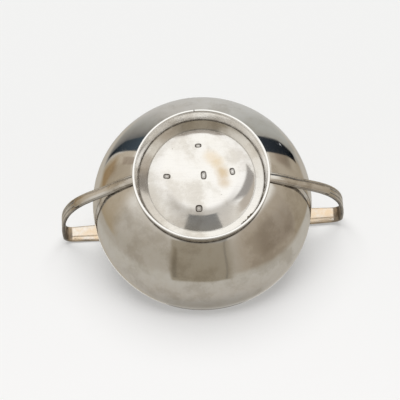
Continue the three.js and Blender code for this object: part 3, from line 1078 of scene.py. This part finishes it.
# Screens and openings of the studio: each reaches from one height to another and between two
# sides, each side with its direction at both heights and its softness, all in degrees. Its
# colour changes evenly from the lower height to the upper one
Screen = namedtuple("Screen", "low high left_low left_high right_low right_high soft_left soft_right "
                    "soft_ends colour_low colour_high")
SCREENS = [Screen(*values) for values in (
    (-30, 13, 76, 76, 152, 152, 20, 24, 8, (149, 139, 125), (160, 150, 136)),
    (-20, 2, 88, 88, 128, 128, 14, 12, 9, (134, 123, 109), (145, 135, 122)),
    (-26, 21, 43, 43, 86, 86, 2, 6, 4, (142, 131, 113), (170, 161, 147)),
    (3, 15, 50, 52, 60, 62, 4, 6, 7, (118, 108, 94), (146, 133, 119)),
    (-16, 23, -88, -88, -38, -47, 16, 1.5, 5, (148, 134, 111), (182, 173, 159)),
    (-9, 8, -57, -57, -44, -46, 6, 5, 5, (138, 116, 85), (146, 127, 101)),
    (13, 26, -55, -63, -49, -56, 1, 1, 1.5, (155, 143, 128), (150, 139, 128)),
    (-9, 35, -35.5, -53.7, -34.5, -35.1, 1.2, 1.2, 2, (16, 20, 22), (72, 83, 93)),
    (-8, 35, 41, 41, 46.6, 62.1, 2, 1.2, 2, (4, 6, 8), (54, 60, 67)),
    (5.0, 6.0, 43.0, 43.0, 44.0, 44.0, 0.5, 0.5, 0.5, (235, 238, 242), (235, 238, 242)),
    (-60, -11, -46, -46, -14, -14, 10, 12, 8, (168, 161, 149), (176, 170, 159)),
    (-60, -14, 20, 20, 47, 47, 12, 10, 8, (170, 164, 154), (175, 170, 161)),
    (-34, 4, 156, 156, -147, -147, 10, 3, 3, (137, 129, 114), (143, 135, 121)),
    (-30, -4, -153, -153, -149, -149, 2, 2, 2, (112, 105, 93), (128, 119, 103)),
    (-33, 4, 160.5, 160.5, 162.5, 162.5, 1, 1, 1, (118, 112, 101), (128, 121, 109)),
    (14, 62, 145, 145, -145, -145, 26, 26, 18, (199, 194, 186), (190, 187, 182)),
    (26, 43, 100, 96, 140, 140, 10, 12, 4, (180, 172, 161), (176, 168, 158)),
    (41, 56, 95, 92, 126, 150, 2, 10, 5, (150, 146, 142), (152, 149, 146)),
    (4, 48.5, 158.5, 166.5, -156.5, -166, 1, 1, 3, (130, 127, 121), (121, 121, 120)),
    (57, 69, -36, -24, 38, 30, 4, 4, 3, (150, 143, 135), (166, 159, 152)),
)]


def between(n, height, round_, screen):
    """Share of a screen in a direction, 1 inside its edges and 0 outside, and how far up it is."""
    climb = n.math("DIVIDE", n.minus(height, screen.low), screen.high - screen.low, clamp=True)
    soft = screen.soft_ends
    share = n.ease(height, screen.low - soft / 2, screen.low + soft / 2)
    share = n.times(share, n.ease(height, screen.high + soft / 2, screen.high - soft / 2))
    sides = (
        (screen.left_low, screen.left_high, screen.soft_left, 1),
        (screen.right_low, screen.right_high, screen.soft_right, -1),
    )
    for low, high, softness, sign in sides:
        edge = n.plus(n.times(climb, high - low), low)
        past = n.math("WRAP", n.times(n.minus(round_, edge), sign), -180.0, 180.0)
        share = n.times(share, n.ease(past, -softness / 2, softness / 2))
    return share, climb


def studio_colour(n, direction_in):
    """Colour of the studio in a direction."""
    up = n.dot(direction_in, SHEET_UP)
    far = n.dot(direction_in, SHEET_FAR)
    right = n.dot(direction_in, SHEET_RIGHT)
    level = n.math("MINIMUM", n.math("MAXIMUM", up, -1.0), 1.0)
    height = n.math("DEGREES", n.math("ARCSINE", level))
    round_ = n.math("DEGREES", n.math("ARCTAN2", right, far))
    colour = n.ramp(height, seen_stops(STUDIO_HEIGHTS))
    wall = n.times(n.ease(height, FAR_WALL_TOP + 5, FAR_WALL_TOP - 5), n.ease(height, -75, -45))
    wall = n.times(wall, n.ease(n.math("ABSOLUTE", n.minus(round_, 2.5)), 42, 39))
    colour = n.blend(wall, colour, n.ramp(round_, seen_stops(FAR_WALL_ROUND)))
    for screen in SCREENS:
        share, climb = between(n, height, round_, screen)
        shade = n.blend(climb, seen(screen.colour_low), seen(screen.colour_high))
        colour = n.blend(share, colour, shade)
    return colour


def world():
    made = bpy.data.worlds.new("studio")
    bpy.context.scene.world = made
    made.use_nodes = True
    n = Nodes(made.node_tree)
    path = n.add("ShaderNodeLightPath").outputs
    direction_in = n.add("ShaderNodeTexCoord").outputs["Generated"]
    studio = n.add("ShaderNodeBackground", {"Color": studio_colour(n, direction_in), "Strength": 1.0})
    soft = n.add("ShaderNodeBackground", {"Color": (1, 1, 1, 1), "Strength": 0.3})
    white = n.add("ShaderNodeBackground", {"Color": BACKGROUND, "Strength": 1.0})
    mirrored = n.mix_shader(path["Is Glossy Ray"], soft, studio)
    last = n.mix_shader(path["Is Camera Ray"], mirrored, white)
    n.add("ShaderNodeOutputWorld", {"Surface": last.outputs[0]})


def lamp(name, toward, strength, spread):
    """A soft distant light, as wide as its spread. The silver doesn't mirror it, only the studio."""
    data = bpy.data.lights.new(name, "SUN")
    data.energy = strength
    data.angle = math.radians(spread)
    obj = new_object(name, data)
    obj.rotation_mode = "QUATERNION"
    obj.rotation_quaternion = Vector(toward).to_track_quat("-Z", "Y")
    obj.visible_glossy = False


# The stage: sizes in millimetres, and how the white sheets look
SHEET_SIZE = 840
SHEET_STEP = 1.2
FLOOR_SIZE = 5000
FLOOR_GAP = 0.05
SHEET_GLOW = 0.3
SHEET_TONE_FAR = tone(243, 243, 242)
SHEET_TONE_NEAR = tone(249, 248, 247)


def one_sided_white(name):
    """Matt white that shows only from its front and glows a little, so that shadows stay light. It is
    painted a little lighter towards the near side, as painted light.
    """
    material, n = new_material(name)
    back = n.add("ShaderNodeNewGeometry").outputs["Backfacing"]
    place = n.add("ShaderNodeTexCoord").outputs["Object"]
    grain = n.ease(n.noise(place, 3, 2, 0.5), 0.3, 0.7, -0.1, 0.1)
    nearness = n.times(n.dot(place, SHEET_FAR), -3.0)
    share = n.plus(n.plus(nearness, grain), 0.5, clamp=True)
    colour = n.blend(share, SHEET_TONE_FAR, SHEET_TONE_NEAR)
    matt = n.add("ShaderNodeBsdfDiffuse", {"Color": colour})
    glow = n.add("ShaderNodeEmission", {"Color": colour, "Strength": 1.0})
    sheet = n.mix_shader(SHEET_GLOW, matt, glow)
    shader = n.mix_shader(back, sheet, n.add("ShaderNodeBsdfTransparent"))
    n.add("ShaderNodeOutputMaterial", {"Surface": shader.outputs[0]})
    return material


def stage_piece(name, faces):
    """A flat white stage piece, made of faces with four corners each, that only the camera sees."""
    mesh = bpy.data.meshes.new(name)
    points = [Vector(corner) * MM for face in faces for corner in face]
    mesh.from_pydata(points, [], [tuple(range(i, i + 4)) for i in range(0, len(points), 4)])
    mesh.materials.append(one_sided_white(name))
    obj = new_object(name, mesh)
    for ray in ("visible_diffuse", "visible_glossy", "visible_transmission", "visible_shadow"):
        setattr(obj, ray, False)


def floor():
    """The floor under the upright cup, a little below its foot."""
    half = FLOOR_SIZE / 2
    corners = ((-half, -half), (half, -half), (half, half), (-half, half))
    stage_piece("floor", [[(x, y, -FLOOR_GAP) for x, y in corners]])


def photo_sheet():
    """The sheet under the upturned cup, in narrow level strips that face down.

    The camera sees them overlap, as one slanted sheet. They are clear from above, but a side view
    along them shows a thin line."""
    half = SHEET_SIZE / 2
    steps = round(half / SHEET_STEP)
    strips = []
    for i in range(-steps, steps):
        middle = Vector((0, -BELLY_RADIUS, RIM_HEIGHT)) + SHEET_FAR * SHEET_STEP * i
        near, far = middle.y - SHEET_STEP * 0.4, middle.y + SHEET_STEP * 0.4
        corners = ((-half, near), (-half, far), (half, far), (half, near))
        strips.append([(x, y, middle.z) for x, y in corners])
    stage_piece("photo_sheet", strips)


# The camera, in the photo's place: below the foot, looking up at a steep slant

CAMERA_DISTANCE = 650.0
CAMERA_HEIGHT = math.radians(70.99)
CAMERA_TURN = math.radians(1.5)
CAMERA_ROLL = math.radians(2.0)
AIM_HEIGHT = RIM_HEIGHT - 30.0
PIXELS_PER_MM = 2.081
FRAME_PIXELS = 400
AIM_PIXEL = (201.6, 185.0)
SENSOR = 36.0


def camera():
    level, steep = math.cos(CAMERA_HEIGHT), math.sin(CAMERA_HEIGHT)
    ahead = Vector((-level * math.sin(CAMERA_TURN), level * math.cos(CAMERA_TURN), steep))
    right = Vector((-math.cos(CAMERA_TURN), -math.sin(CAMERA_TURN), 0))
    down = ahead.cross(right)
    rolled_right = right * math.cos(CAMERA_ROLL) + down * math.sin(CAMERA_ROLL)
    rolled_down = down * math.cos(CAMERA_ROLL) - right * math.sin(CAMERA_ROLL)
    focus = PIXELS_PER_MM * CAMERA_DISTANCE
    place = Vector((0, 0, AIM_HEIGHT)) - ahead * CAMERA_DISTANCE
    half = FRAME_PIXELS / 2
    aim = ahead * focus - rolled_right * (AIM_PIXEL[0] - half) - rolled_down * (AIM_PIXEL[1] - half)
    aim.normalize()
    side = aim.cross(-rolled_down).normalized()
    up = side.cross(aim).normalized()
    data = bpy.data.cameras.new("camera")
    data.sensor_width = SENSOR
    data.lens = SENSOR * focus / FRAME_PIXELS
    data.clip_start = 0.01
    data.clip_end = 20
    obj = new_object("camera", data)
    turn = Matrix((side, up, -aim)).transposed()
    obj.matrix_world = Matrix.Translation(place * MM) @ turn.to_4x4()
    bpy.context.scene.camera = obj


def dress(obj, material, node):
    """Gives a piece its material, and puts it in the place of a node of the model."""
    obj.data.materials.append(material)
    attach(obj, "root")
    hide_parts(node)


camera()
world()
lamp("sheet_light", -(SHEET_UP * 0.99 + SHEET_FAR * 0.12), strength=2.9, spread=55)
lamp("ceiling_light", (0.25, 0.35, -0.9), strength=2.2, spread=40)
photo_sheet()
floor()

bowl_silver = silver("worn_silver_bowl", roughness=0.05, tarnish=0.32, scratch=0.05,
                     stains=WARM_STAINS, marks=True, brush=0.14)
foot_silver = silver("clean_silver_foot", roughness=0.11, tarnish=0.12, scratch=0.05, clean=PALE_SILVER)
strap_silver = silver("worn_silver_strap", roughness=0.12, tarnish=0.6, scratch=0.08)
bright = silver("rubbed_highlit_silver_wire", roughness=0.1, tarnish=0.0, scratch=0.03, clean=PALE_SILVER)
solder = silver("silver_solder", roughness=0.32, tarnish=1.0, scratch=0.1, clean=DARK_SOLDER)

dress(bowl(), bowl_silver, "bowl")
dress(rim_wire(), bright, "rim_wire")
dress(foot_collar(), foot_silver, "foot_collar")
dress(foot_wire(), bright, "foot_wire")
dress(foot_solder(), solder, "foot_solder")
for side in SIDES:
    dress(handle(side), strap_silver, side + "_handle")
    dress(tongue(side), strap_silver, side + "_tongue")
    dress(rim_solder(side), solder, side + "_rim_solder")
    dress(root_solder(side), solder, side + "_root_solder")

bpy.context.scene.view_settings.view_transform = "Standard"
